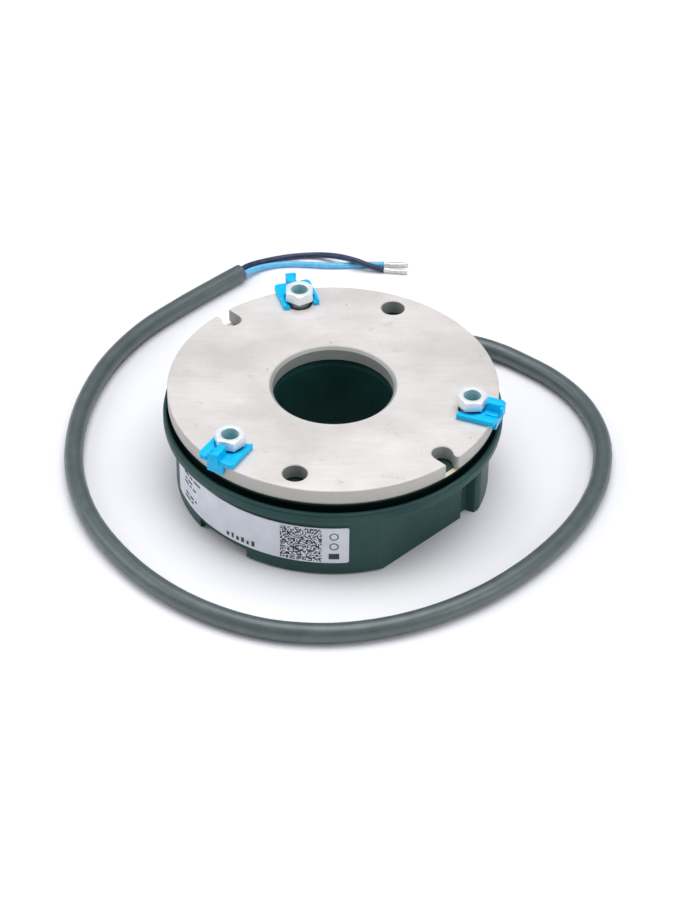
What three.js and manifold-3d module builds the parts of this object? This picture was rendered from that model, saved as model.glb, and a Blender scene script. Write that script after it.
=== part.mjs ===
// A spring-applied electromagnetic brake unit. A painted magnet housing holds the coil and six
// pressure springs, and a steel armature plate lies on three hexagonal spacer bolts above it.
// Blue transport clips under the bolt heads lock the plate, and a sheathed lead leaves the housing.
// Millimetres, +Z up. The origin is on the axis, in the plane of the back face.
import * as THREE from "three";
import { mergeVertices } from "three/addons/utils/BufferGeometryUtils.js";
import Module from "manifold-3d";

const wasm = await Module();
wasm.setup();

// ---- Driving dimensions ----
const GAP = 0.3; // left between pieces that touch
const TURNED_SEGMENTS = 72;
const BORE_SEGMENTS = 24;
const OVERSHOOT = 2; // how far a cutting shape runs past the face it cuts

const HOUSING = {
  bodyRadius: 40.5,
  ringRadius: 43.3,
  rimRadius: 41.8,
  boreRadius: 15.3,
  boreChamfer: 1.5,
  edge: 0.6,
  ringLow: 18.8,
  ringHigh: 22.1,
  ringInner: 42.3,
  recessRadius: 40.2,
  recessLow: 20.2,
  recessHigh: 23.6,
  poleHeight: 24.2,
  grooveInner: 24.4,
  grooveOuter: 32,
  grooveFloor: 5,
};
const PLATE = {
  radius: 42,
  boreRadius: 15.4,
  boreChamfer: 0.95,
  edge: 0.5,
  low: HOUSING.poleHeight + GAP,
  high: 28.6,
};
const FLAT = {
  angles: [-45.7, 134.3],
  distance: 36,
  wallAngle: 21.5,
  lugRadius: 36.9,
  lugChamfer: [0.3, 2.4],
  reliefDepth: 1.4,
  reliefWidth: 2.2,
  reliefSlope: 0.8,
};
const FOOT_RECESS = { angle: -133.2, halfWidth: 8.2, innerDistance: 33, height: 3.1 };
const BEYOND = 50; // clear of the whole housing

const BOLT_CIRCLE = 36;
const BOLT = {
  shankRadius: 3,
  holeRadius: 2.15,
  countersink: 0.25,
  acrossFlats: 7,
  headLow: 30.4,
  headHigh: 33.1,
  headChamfer: 0.9,
  shankLow: 12,
  clearance: 3.3,
  screwRadius: 2.25,
};
// Each bolt's place on the circle, the turn of its hexagon, the way its clip pulls off,
// and how far the loose clip sits to one side of the bolt.
const STATIONS = [
  { side: "right", angle: -15.6, hexTurn: 3, clipAngle: -21, clipShift: -0.5 },
  { side: "rear", angle: 104.7, hexTurn: 30, clipAngle: 107.5, clipShift: 0 },
  { side: "left", angle: -134.1, hexTurn: -15, clipAngle: -120, clipShift: 0.25 },
];

const RELEASE_HOLES = { angles: [-104.4, 64.7], circle: 36.4, radius: 3.1 };
const SLOT = {
  angles: [-45, 135],
  centre: 38.15,
  offset: -0.2,
  radius: 2.65,
  noseEase: [40.5, 1.35],
  noseTip: [41.25, 1.35],
  noseTurn: [42.05, 1.5],
  noseEnd: [42.4, 3.1],
  mouthHalf: 4.5,
};

// Along the pull direction from the bolt, and across it from the clip's own centre line.
const CLIP = {
  low: PLATE.high + 0.25,
  thickness: 1.3,
  step: 0.75,
  halfWidth: 4.9,
  slotHalfWidth: 3.3,
  railHalfWidth: 4.15,
  tip: -2.4,
  outer: 7.5,
  corner: 1,
  slitInner: 4.4,
  slitCentre: -2.1,
  slitWidth: 0.5,
  web: [-0.75, 1.4],
  cap: [-0.9, 1.5],
  wall: [-1.4, 1.4],
  hook: [-2.3, 2.3],
  capLow: 31.9,
  top: 32.7,
  capCorner: 0.7,
  ribInner: 4.3,
  ribOuter: 8.6,
  wallInner: 7.8,
  wallOuter: 8.5,
  hookInner: 6,
  hookOuter: 7.5,
  hookLow: 26.1,
};

const LABEL = { inner: 40.65, outer: 40.85, from: -162, to: -84, low: 4.3, high: 15.6 };

const COIL = { top: 21.2, wall: 0.8, tubeWall: 0.8, flangeGap: 0.3, outerRoom: 0.5 };
const SPRING = {
  count: 6,
  circle: 19.9,
  firstAngle: 15,
  pocketRadius: 2.4,
  pocketFloor: 13.7,
  meanRadius: 1.6,
  wireRadius: 0.4,
  turns: 5,
  stepsPerTurn: 8,
};

const LEAD = {
  angle: 64,
  height: 7,
  channelRadius: 3.8,
  boreRadius: 2.3,
  sleeveRadius: 3.5,
  sleeveStart: 33,
  flangeStart: 41,
  flangeEnd: 42.2,
  flangeRadius: 4.4,
  noseStart: 3.9,
  noseEnd: 3,
  end: 43.4,
  coreRadius: 0.75,
  coreOffset: 0.95,
  coreInner: 31.6,
};

const JACKET_RADIUS = 2.5;
const WIRE_RADIUS = 0.85;
const FERRULE = { radius: 0.8, length: 6.8 };
const FLOOR_GAP = 0.05;
const JACKET_FLOOR = JACKET_RADIUS + FLOOR_GAP;
const WIRE_FLOOR = WIRE_RADIUS + FLOOR_GAP;

// The sheathed lead, from its exit at the rear right round the front to its cut end behind the unit.
const JACKET_ROUTE = [
  [19.25, 39.45, 7],
  [20.5, 41.9, 6.95],
  [24.4, 46.3, 6.4],
  [30.9, 49.4, 5.1],
  [38.6, 50.2, 3.7],
  [45.9, 47.9, 2.8],
  [52.3, 43.4, JACKET_FLOOR],
  [59.4, 37, JACKET_FLOOR],
  [65.6, 28.4, JACKET_FLOOR],
  [69.3, 18.9, JACKET_FLOOR],
  [70.8, 8, JACKET_FLOOR],
  [69.1, -5.4, JACKET_FLOOR],
  [65.6, -15.2, JACKET_FLOOR],
  [61, -23.9, JACKET_FLOOR],
  [54.6, -32.9, JACKET_FLOOR],
  [47.1, -41.2, JACKET_FLOOR],
  [36.8, -50, JACKET_FLOOR],
  [24.2, -57.4, JACKET_FLOOR],
  [11.7, -61.9, JACKET_FLOOR],
  [-1.5, -63.8, JACKET_FLOOR],
  [-16.5, -62.2, JACKET_FLOOR],
  [-31.2, -56, JACKET_FLOOR],
  [-43.8, -46.5, JACKET_FLOOR],
  [-54.2, -34.3, JACKET_FLOOR],
  [-62, -20.4, JACKET_FLOOR],
  [-66.5, -5.2, JACKET_FLOOR],
  [-67.7, 9.6, JACKET_FLOOR],
  [-66.2, 25.1, JACKET_FLOOR],
  [-61.4, 41.6, JACKET_FLOOR],
  [-53.4, 56.3, JACKET_FLOOR],
  [-43.6, 68, JACKET_FLOOR],
  [-35.4, 76.5, JACKET_FLOOR],
  [-26.9, 85, JACKET_FLOOR],
];
// The two cores, free beyond the sheath. The dark one passes over the blue one in a low hump.
const BLUE_ROUTE = [
  [-26, 84.5, 2.5],
  [-23.4, 87.6, 1.8],
  [-20.6, 90, 1.1],
  [-17, 91.4, WIRE_FLOOR],
  [-13, 92, WIRE_FLOOR],
  [-7.5, 91.8, WIRE_FLOOR],
  [-1.9, 91.4, WIRE_FLOOR],
  [5.5, 91.7, WIRE_FLOOR],
  [10.2, 92.1, WIRE_FLOOR],
  [14.4, 92.2, WIRE_FLOOR],
];
const DARK_ROUTE = [
  [-27.35, 85.85, 2.6],
  [-24.8, 89.1, 2.1],
  [-20.8, 92.4, 1.3],
  [-13, 95.6, WIRE_FLOOR],
  [-5.7, 96.3, 1.1],
  [-1.5, 94.9, 2],
  [2.4, 92.7, 2.9],
  [6.5, 90.9, 2.9],
  [10.4, 90, 1.8],
  [14.2, 89.5, WIRE_FLOOR],
];

// ---- Finishes ----
const finish = (color, roughness, metalness) => new THREE.MeshStandardMaterial({ color, roughness, metalness });
const FINISHES = {
  greenPaint: finish(0x1f3b39, 0.45, 0.1),
  groundSteel: finish(0xd6d1cc, 0.4, 0.9),
  zinc: finish(0xe4e8ea, 0.3, 0.9),
  bluePlastic: finish(0x19a0ea, 0.4, 0),
  labelFoil: finish(0xb9c0c8, 0.5, 0.3),
  bobbinPlastic: finish(0x2a2a2c, 0.6, 0),
  copper: finish(0xb06a3c, 0.35, 0.9),
  resin: finish(0x15201f, 0.6, 0),
  springSteel: finish(0x8d9092, 0.35, 0.9),
  rubber: finish(0x17191a, 0.8, 0),
  sheath: finish(0x39413f, 0.65, 0),
  blueWire: finish(0x5fb7dd, 0.5, 0),
  darkWire: finish(0x1c2733, 0.5, 0),
  tin: finish(0xd4d2cc, 0.35, 0.9),
};

// ---- Geometry helpers ----
const radians = THREE.MathUtils.degToRad;
const polar = (radius, degrees) =>
  new THREE.Vector2(radius * Math.cos(radians(degrees)), radius * Math.sin(radians(degrees)));

// A closed mesh as a solid that can be cut and joined.
function solidOf(geometry) {
  const bare = new THREE.BufferGeometry();
  bare.setAttribute("position", geometry.getAttribute("position"));
  bare.setIndex(geometry.getIndex());
  const merged = mergeVertices(bare, 1e-4);
  return new wasm.Manifold(
    new wasm.Mesh({
      numProp: 3,
      vertProperties: new Float32Array(merged.getAttribute("position").array),
      triVerts: new Uint32Array(merged.getIndex().array),
    }),
  );
}

function geometryOf(solid) {
  const { vertProperties, triVerts } = solid.getMesh();
  const indexed = new THREE.BufferGeometry();
  indexed.setAttribute("position", new THREE.BufferAttribute(vertProperties, 3));
  indexed.setIndex(new THREE.BufferAttribute(triVerts, 1));
  const geometry = indexed.toNonIndexed();
  geometry.computeVertexNormals();
  return geometry;
}

const cut = (geometry, tools) =>
  geometryOf(tools.reduce((solid, tool) => solid.subtract(solidOf(tool)), solidOf(geometry)));
const join = (pieces) => geometryOf(pieces.map(solidOf).reduce((whole, piece) => whole.add(piece)));
const common = (a, b) => geometryOf(solidOf(a).intersect(solidOf(b)));

// A solid of revolution about Z. The profile is a loop of [radius, height], anticlockwise.
function turned(profile, segments = TURNED_SEGMENTS) {
  const loop = [...profile, profile[0]].map(([radius, height]) => new THREE.Vector2(radius, height));
  return new THREE.LatheGeometry(loop, segments).rotateX(Math.PI / 2);
}

function rod(radius, low, high, segments = BORE_SEGMENTS) {
  return new THREE.CylinderGeometry(radius, radius, high - low, segments)
    .rotateX(Math.PI / 2)
    .translate(0, 0, (low + high) / 2);
}

function block(xLow, xHigh, halfWidth, low, high) {
  return new THREE.BoxGeometry(xHigh - xLow, 2 * halfWidth, high - low).translate(
    (xLow + xHigh) / 2,
    0,
    (low + high) / 2,
  );
}

function slab(shape, low, high, curveSegments = 10) {
  return new THREE.ExtrudeGeometry(shape, { depth: high - low, bevelEnabled: false, curveSegments }).translate(
    0,
    0,
    low,
  );
}

// A flat profile of [along X, height] points, thick across Y between two edges.
function upright(profile, [edge, otherEdge]) {
  const shape = new THREE.Shape(profile.map(([along, height]) => new THREE.Vector2(along, height)));
  return slab(shape, -otherEdge, -edge).rotateX(Math.PI / 2);
}

// Moves a shape built round the Z axis to a point on a circle, turned about its own axis.
const placed = (geometry, radius, degrees, turn = 0) => {
  const at = polar(radius, degrees);
  return geometry.rotateZ(radians(turn)).translate(at.x, at.y, 0);
};

// Turns a shape built along +Z from the axis so that it points outwards at the lead's angle and height.
const alongLead = (geometry) =>
  geometry.rotateY(Math.PI / 2).rotateZ(radians(LEAD.angle)).translate(0, 0, LEAD.height);

function tube(points, radius, sides, steps) {
  const path = new THREE.CatmullRomCurve3(points.map((point) => new THREE.Vector3(...point)));
  const section = new THREE.Shape();
  for (let side = 0; side < sides; side += 1) {
    const angle = (2 * Math.PI * (side + 0.5)) / sides;
    const corner = [radius * Math.cos(angle), radius * Math.sin(angle)];
    if (side === 0) section.moveTo(...corner);
    else section.lineTo(...corner);
  }
  return new THREE.ExtrudeGeometry(section, { steps, bevelEnabled: false, extrudePath: path });
}

// ---- Magnet housing ----
// One flat on the side of the body, ending at a wall with a small relief and a broken corner.
function flatCutter(degrees) {
  const f = FLAT;
  const slope = Math.tan(radians(f.wallAngle));
  const inner = f.distance - f.reliefDepth;
  const wallFoot = inner * slope;
  const wallTop = f.lugRadius * slope;
  const shape = new THREE.Shape();
  shape.moveTo(f.distance, -BEYOND);
  shape.lineTo(BEYOND, -BEYOND);
  shape.lineTo(BEYOND, BEYOND);
  shape.lineTo(f.lugRadius + f.lugChamfer[0], wallTop + f.lugChamfer[1]);
  shape.lineTo(f.lugRadius, wallTop);
  shape.lineTo(inner, wallFoot);
  shape.lineTo(inner, wallFoot - f.reliefWidth);
  shape.lineTo(f.distance, wallFoot - f.reliefWidth - f.reliefSlope);
  return slab(shape, -OVERSHOOT, HOUSING.ringLow).rotateZ(radians(degrees));
}

function footRecessCutter() {
  const { innerDistance, halfWidth, height, angle } = FOOT_RECESS;
  return block(innerDistance, BEYOND, halfWidth, -OVERSHOOT, height).rotateZ(radians(angle));
}

function magnetHousing() {
  const h = HOUSING;
  const blank = turned([
    [h.boreRadius + h.edge, 0],
    [h.bodyRadius - h.edge, 0],
    [h.bodyRadius, h.edge],
    [h.bodyRadius, h.ringLow],
    [h.ringRadius - h.edge, h.ringLow],
    [h.ringRadius, h.ringLow + h.edge],
    [h.ringRadius, h.ringHigh - h.edge],
    [h.ringRadius - h.edge, h.ringHigh],
    [h.ringInner, h.ringHigh],
    [h.ringInner, h.recessLow],
    [h.recessRadius, h.recessLow],
    [h.recessRadius, h.recessHigh],
    [h.rimRadius, h.recessHigh],
    [h.rimRadius, h.poleHeight],
    [h.grooveOuter, h.poleHeight],
    [h.grooveOuter, h.grooveFloor],
    [h.grooveInner, h.grooveFloor],
    [h.grooveInner, h.poleHeight],
    [h.boreRadius + h.boreChamfer, h.poleHeight],
    [h.boreRadius, h.poleHeight - h.boreChamfer],
    [h.boreRadius, h.edge],
  ]);
  const boltBores = STATIONS.flatMap(({ angle }) => [
    placed(rod(BOLT.clearance, BOLT.shankLow - GAP, h.poleHeight + OVERSHOOT), BOLT_CIRCLE, angle),
    placed(rod(BOLT.screwRadius, -OVERSHOOT, BOLT.shankLow), BOLT_CIRCLE, angle),
  ]);
  const springPockets = springAngles().map((angle) =>
    placed(rod(SPRING.pocketRadius, SPRING.pocketFloor, h.poleHeight + OVERSHOOT, 16), SPRING.circle, angle),
  );
  const leadChannel = alongLead(rod(LEAD.channelRadius, h.grooveOuter - 1, h.ringRadius + OVERSHOOT));
  return cut(blank, [
    ...FLAT.angles.map(flatCutter),
    footRecessCutter(),
    ...boltBores,
    ...springPockets,
    leadChannel,
  ]);
}

// ---- Armature plate ----
// A slot open to the rim: one side straight to a sharp corner, the other a nose that flares outwards.
function slotCutter(degrees) {
  const { centre, offset, radius, noseEase, noseTip, noseTurn, noseEnd, mouthHalf } = SLOT;
  const mouth = PLATE.radius + OVERSHOOT;
  const shape = new THREE.Shape();
  shape.moveTo(mouth, offset - radius);
  shape.lineTo(centre, offset - radius);
  shape.absarc(centre, offset, radius, -Math.PI / 2, Math.PI / 3, true);
  shape.quadraticCurveTo(...noseEase, ...noseTip);
  shape.quadraticCurveTo(...noseTurn, ...noseEnd);
  shape.lineTo(mouth, mouthHalf);
  return slab(shape, PLATE.low - OVERSHOOT, PLATE.high + OVERSHOOT, 12).rotateZ(radians(degrees));
}

function armaturePlate() {
  const p = PLATE;
  const blank = turned([
    [p.boreRadius, p.low],
    [p.radius - p.edge, p.low],
    [p.radius, p.low + p.edge],
    [p.radius, p.high - p.edge],
    [p.radius - p.edge, p.high],
    [p.boreRadius + p.boreChamfer, p.high],
    [p.boreRadius, p.high - p.boreChamfer],
  ]);
  const hole = (radius) => rod(radius, p.low - OVERSHOOT, p.high + OVERSHOOT);
  return cut(blank, [
    ...STATIONS.map(({ angle }) => placed(hole(BOLT.clearance), BOLT_CIRCLE, angle)),
    ...RELEASE_HOLES.angles.map((angle) => placed(hole(RELEASE_HOLES.radius), RELEASE_HOLES.circle, angle)),
    ...SLOT.angles.map(slotCutter),
  ]);
}

// ---- Spacer bolt: hollow shank and a chamfered hexagonal head ----
function spacerBolt({ angle, hexTurn }) {
  const b = BOLT;
  const flat = b.acrossFlats / 2;
  const corner = flat / Math.cos(Math.PI / 6);
  const hexagon = rod(corner, b.headLow, b.headHigh, 6).rotateZ(Math.PI / 2 + radians(hexTurn));
  const chamfer = turned(
    [
      [0, b.headLow],
      [corner + 1, b.headLow],
      [corner + 1, b.headHigh - b.headChamfer],
      [flat, b.headHigh],
      [0, b.headHigh],
    ],
    36,
  );
  const shank = rod(b.shankRadius, b.shankLow, b.headLow + 1);
  const bore = rod(b.holeRadius, b.shankLow - OVERSHOOT, b.headHigh + OVERSHOOT);
  const countersink = turned(
    [
      [0, b.headHigh - b.countersink - b.holeRadius],
      [b.holeRadius + b.countersink, b.headHigh],
      [b.holeRadius + b.countersink, b.headHigh + OVERSHOOT],
      [0, b.headHigh + OVERSHOOT],
    ],
    BORE_SEGMENTS,
  );
  const head = common(hexagon, chamfer);
  return placed(cut(join([head, shank]), [bore, countersink]), BOLT_CIRCLE, angle);
}

// ---- Transport clip: a stepped fork under the bolt head, an upright grip and a hook over the rim ----
// A slot open towards the axis, with a round inner end that is centred a little to one side.
function openSlot(halfWidth, shift, low, high) {
  const shape = new THREE.Shape();
  shape.moveTo(CLIP.tip - OVERSHOOT, shift - halfWidth);
  shape.lineTo(0, shift - halfWidth);
  shape.absarc(0, shift, halfWidth, -Math.PI / 2, Math.PI / 2, false);
  shape.lineTo(CLIP.tip - OVERSHOOT, shift + halfWidth);
  return slab(shape, low, high);
}

function clipFork(shift) {
  const c = CLIP;
  const forkTop = c.low + c.thickness;
  const outline = new THREE.Shape();
  outline.moveTo(c.tip, -c.halfWidth);
  outline.lineTo(c.outer - c.corner, -c.halfWidth);
  outline.lineTo(c.outer, c.corner - c.halfWidth);
  outline.lineTo(c.outer, c.halfWidth - c.corner);
  outline.lineTo(c.outer - c.corner, c.halfWidth);
  outline.lineTo(c.tip, c.halfWidth);
  const slit = block(c.slitInner, c.outer + OVERSHOOT, c.slitWidth / 2, c.low - OVERSHOOT, forkTop + OVERSHOOT);
  return cut(slab(outline, c.low, forkTop).translate(0, shift, 0), [
    openSlot(c.slotHalfWidth, 0, c.low - OVERSHOOT, forkTop + OVERSHOOT),
    openSlot(c.railHalfWidth, shift, c.low + c.step, forkTop + OVERSHOOT),
    slit.translate(0, shift + c.slitCentre, 0),
  ]);
}

function clipGrip() {
  const c = CLIP;
  const inside = c.low + c.step / 2;
  const capMiddle = (c.capLow + c.top) / 2;
  const web = upright(
    [
      [c.ribInner, inside],
      [c.wallOuter, inside],
      [c.wallOuter, capMiddle],
      [c.ribInner, capMiddle],
    ],
    c.web,
  );
  const cap = upright(
    [
      [c.ribInner, c.capLow],
      [c.ribOuter, c.capLow],
      [c.ribOuter, c.top - c.capCorner],
      [c.ribOuter - c.capCorner, c.top],
      [c.ribInner, c.top],
    ],
    c.cap,
  );
  const wall = upright(
    [
      [c.hookInner, inside],
      [c.hookOuter, c.low],
      [c.wallOuter, c.low + c.thickness],
      [c.wallOuter, capMiddle],
      [c.wallInner, capMiddle],
      [c.wallInner, c.low + c.thickness],
    ],
    c.wall,
  );
  const hook = upright(
    [
      [c.hookInner, c.hookLow],
      [c.hookOuter, c.hookLow],
      [c.hookOuter, c.low + c.step],
      [c.hookInner, c.low + c.step],
    ],
    c.hook,
  );
  return [web, cap, wall, hook];
}

function transportClip({ angle, clipAngle, clipShift }) {
  const grip = clipGrip().map((piece) => piece.translate(0, clipShift, 0));
  const clip = placed(join([clipFork(clipShift), ...grip]), BOLT_CIRCLE, angle, clipAngle);
  const rimClearance = turned([
    [0, CLIP.hookLow - OVERSHOOT],
    [PLATE.radius + GAP, CLIP.hookLow - OVERSHOOT],
    [PLATE.radius + GAP, CLIP.low],
    [0, CLIP.low],
  ]);
  return cut(clip, [rimClearance]);
}

// ---- Rating label wrapped on the body ----
function ratingLabel() {
  const { inner, outer, from, to, low, high } = LABEL;
  const band = new THREE.Shape();
  band.absarc(0, 0, outer, radians(from), radians(to), false);
  band.absarc(0, 0, inner, radians(to), radians(from), true);
  return slab(band, low, high, 32);
}

// ---- Coil in the housing groove ----
function coilSpace() {
  const inner = HOUSING.grooveInner + GAP;
  const outer = HOUSING.grooveOuter - GAP;
  return { inner, outer, low: HOUSING.grooveFloor + GAP, high: COIL.top };
}

function coilBobbin() {
  const { inner, outer, low, high } = coilSpace();
  const tubeOuter = inner + COIL.tubeWall;
  return turned(
    [
      [inner, low],
      [outer, low],
      [outer, low + COIL.wall],
      [tubeOuter, low + COIL.wall],
      [tubeOuter, high - COIL.wall],
      [outer, high - COIL.wall],
      [outer, high],
      [inner, high],
    ],
    36,
  );
}

function coilWinding() {
  const { inner, outer, low, high } = coilSpace();
  const rest = COIL.wall + COIL.flangeGap;
  return turned(
    [
      [inner + COIL.tubeWall + COIL.flangeGap, low + rest],
      [outer - COIL.outerRoom, low + rest],
      [outer - COIL.outerRoom, high - rest],
      [inner + COIL.tubeWall + COIL.flangeGap, high - rest],
    ],
    36,
  );
}

function pottingRing() {
  const { inner, outer, high } = coilSpace();
  return turned(
    [
      [inner, high + GAP],
      [outer, high + GAP],
      [outer, HOUSING.poleHeight - GAP],
      [inner, HOUSING.poleHeight - GAP],
    ],
    36,
  );
}

// ---- Pressure springs ----
function springAngles() {
  const step = 360 / SPRING.count;
  return Array.from({ length: SPRING.count }, (_, index) => SPRING.firstAngle + step * index);
}

function pressureSpring(angle) {
  const low = SPRING.pocketFloor + GAP + SPRING.wireRadius;
  const high = HOUSING.poleHeight - SPRING.wireRadius;
  const steps = SPRING.turns * SPRING.stepsPerTurn;
  const helix = Array.from({ length: steps + 1 }, (_, step) => {
    const at = polar(SPRING.meanRadius, (360 * step) / SPRING.stepsPerTurn);
    return [at.x, at.y, low + ((high - low) * step) / steps];
  });
  return placed(tube(helix, SPRING.wireRadius, 6, steps), SPRING.circle, angle);
}

// ---- Lead exit ----
function cableGrommet() {
  const l = LEAD;
  return alongLead(
    turned(
      [
        [l.boreRadius, l.sleeveStart],
        [l.sleeveRadius, l.sleeveStart],
        [l.sleeveRadius, l.flangeStart],
        [l.flangeRadius, l.flangeStart],
        [l.flangeRadius, l.flangeEnd],
        [l.noseStart, l.flangeEnd],
        [l.noseEnd, l.end],
        [l.boreRadius, l.end],
      ],
      BORE_SEGMENTS,
    ),
  );
}

// A core between the coil and the sheath, beside the lead's own axis.
function innerCore(side) {
  return alongLead(rod(LEAD.coreRadius, LEAD.coreInner, LEAD.end, 8).translate(0, side * LEAD.coreOffset, 0));
}

// A crimped sleeve on a core's end, in line with the core's last stretch.
function ferrule(route) {
  const end = new THREE.Vector3(...route.at(-1));
  const before = new THREE.Vector3(...route.at(-2));
  const along = new THREE.Vector2(end.x - before.x, end.y - before.y).normalize();
  const heading = Math.atan2(along.y, along.x);
  return rod(FERRULE.radius, GAP, GAP + FERRULE.length, 8)
    .rotateY(Math.PI / 2)
    .rotateZ(heading)
    .translate(end.x, end.y, end.z);
}

// ---- Assembly ----
const assembly = new THREE.Group();

function add(name, geometry, material) {
  const mesh = new THREE.Mesh(geometry, material);
  mesh.name = name;
  assembly.add(mesh);
}

add("magnet_housing", magnetHousing(), FINISHES.greenPaint);
add("coil_bobbin", coilBobbin(), FINISHES.bobbinPlastic);
add("coil_winding", coilWinding(), FINISHES.copper);
add("potting_ring", pottingRing(), FINISHES.resin);
springAngles().forEach((angle, index) => {
  add(`pressure_spring_${index + 1}`, pressureSpring(angle), FINISHES.springSteel);
});
add("armature_plate", armaturePlate(), FINISHES.groundSteel);
for (const station of STATIONS) {
  add(`spacer_bolt_${station.side}`, spacerBolt(station), FINISHES.zinc);
  add(`transport_clip_${station.side}`, transportClip(station), FINISHES.bluePlastic);
}
add("rating_label", ratingLabel(), FINISHES.labelFoil);
add("cable_grommet", cableGrommet(), FINISHES.rubber);
add("inner_core_blue", innerCore(1), FINISHES.blueWire);
add("inner_core_dark", innerCore(-1), FINISHES.darkWire);
add("cable_jacket", tube(JACKET_ROUTE, JACKET_RADIUS, 10, 64), FINISHES.sheath);
add("wire_blue", tube(BLUE_ROUTE, WIRE_RADIUS, 8, 18), FINISHES.blueWire);
add("wire_dark", tube(DARK_ROUTE, WIRE_RADIUS, 8, 18), FINISHES.darkWire);
add("ferrule_blue", ferrule(BLUE_ROUTE), FINISHES.tin);
add("ferrule_dark", ferrule(DARK_ROUTE), FINISHES.tin);

export default assembly;
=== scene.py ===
"""Looks for an electromagnetic brake unit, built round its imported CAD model. Metres, +Z up."""

import math
import random

import bmesh
import bpy
from mathutils import Matrix, Vector


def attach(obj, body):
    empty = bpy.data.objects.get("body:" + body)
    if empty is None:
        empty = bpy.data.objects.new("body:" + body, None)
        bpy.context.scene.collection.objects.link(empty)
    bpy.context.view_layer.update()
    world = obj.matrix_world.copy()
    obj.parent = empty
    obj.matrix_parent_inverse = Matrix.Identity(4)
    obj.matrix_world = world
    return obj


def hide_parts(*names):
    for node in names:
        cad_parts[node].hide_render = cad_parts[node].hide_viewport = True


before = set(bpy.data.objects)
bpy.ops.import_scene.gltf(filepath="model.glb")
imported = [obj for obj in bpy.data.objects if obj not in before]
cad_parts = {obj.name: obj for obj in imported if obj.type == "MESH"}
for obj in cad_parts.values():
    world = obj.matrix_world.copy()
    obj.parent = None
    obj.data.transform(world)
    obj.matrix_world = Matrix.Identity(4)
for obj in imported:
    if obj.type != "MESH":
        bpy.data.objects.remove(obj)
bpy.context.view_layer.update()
MM = 0.001
TAU = 2 * math.pi

# ---- Dimensions in millimetres, as in the CAD model ----
PLATE_LOW, PLATE_HIGH, PLATE_RADIUS, PLATE_BORE = 24.5, 28.6, 42.0, 15.4
POLE_HEIGHT, RING_LOW, RING_HIGH = 24.2, 18.8, 22.1
BODY_RADIUS, RING_RADIUS, RIM_RADIUS, HOUSING_BORE = 40.5, 43.3, 41.8, 15.3
PLATE_CHAMFER, PLATE_EDGE = 0.95, 0.22
PLATE_HOLE_RADIUS, PLATE_HOLE_CIRCLE, PLATE_HOLE_ANGLES = 3.1, 36.4, (-104.4, 64.7)
GROOVE_RADIUS, GROOVE_LOW, GROOVE_HIGH, RING_INNER = 40.2, 20.2, 23.6, 42.3
COIL_INNER, COIL_OUTER, COIL_FLOOR = 24.4, 32.0, 5.0
FOOT_EDGE, BORE_CHAMFER = 0.6, 1.5
SPRING_COUNT, SPRING_CIRCLE, SPRING_FIRST, SPRING_POCKET, SPRING_FLOOR = 6, 19.9, 15, 2.4, 13.7
THREAD_RADIUS, BOLT_FOOT, BOLT_HOLE_FLOOR = 2.25, 12.0, 11.7
NOTCH_ANGLE, NOTCH_HALF, NOTCH_HIGH = -133.2, 8.2, 3.1
BOLT_CIRCLE, BOLT_CLEARANCE = 36.0, 3.3
BOLT_FLAT, BOLT_HEAD_LOW, BOLT_HEAD_HIGH = 3.5, 30.4, 33.1
BOLT_SHANK, BOLT_BORE, BOLT_BORE_EDGE = 3.0, 2.15, 0.27
STATIONS = {
    "right": {"angle": -15.6, "hex_turn": 3, "clip_angle": -21, "clip_shift": -0.5},
    "rear": {"angle": 104.7, "hex_turn": 30, "clip_angle": 107.5, "clip_shift": 0.0},
    "left": {"angle": -134.1, "hex_turn": -15, "clip_angle": -120, "clip_shift": 0.25},
}
SLOT_ANGLES = (-45, 135)
FLAT_ANGLES = (-45.7, 134.3)
CLIP_LOW, CLIP_STEP, CLIP_TOP = 28.85, 29.6, 30.15
CLIP_TIP, CLIP_OUTER, CLIP_HALF, CLIP_RAIL = -2.4, 7.5, 4.9, 4.15
CAP_INNER, CAP_OUTER, CAP_LOW, CAP_HIGH, HOOK_LOW = 4.3, 8.6, 31.9, 32.7, 26.1
FLAT_DISTANCE, FLAT_WALL_ANGLE, LUG_RADIUS, RELIEF_DISTANCE = 36.0, 21.5, 36.9, 34.6
LABEL_INNER, LABEL_OUTER, LABEL_LOW, LABEL_HIGH = 40.62, 40.8, 4.3, 15.6
LABEL_START, LABEL_END, LABEL_CORNER = -162.0, -84.0, 0.3
CODE_ANGLE, CODE_LOW, CODE_CELL, CODE_CELLS = -100.6, 4.7, 0.3, 35
RINGS_ANGLE = -89.2
BAR_ROWS = [
    (13.6, (2.6, 1.4, 3.1)), (11.9, (1.1, 2.2)), (10.6, (2.4, 1.0, 1.6)), (7.2, (1.9, 1.9, 0.9)),
    (5.9, (3.0, 1.2)),
]  # height and widths of each row's bars
LEAD_ANGLE, LEAD_HEIGHT, LEAD_HOLE = 64.0, 7.0, 3.8
SHEATH_RADIUS, CORE_RADIUS = 2.48, 0.85
FLOOR, CORE_FLOOR = 2.55, 0.9  # heights of the middle of the sheath and of a core on the floor

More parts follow.
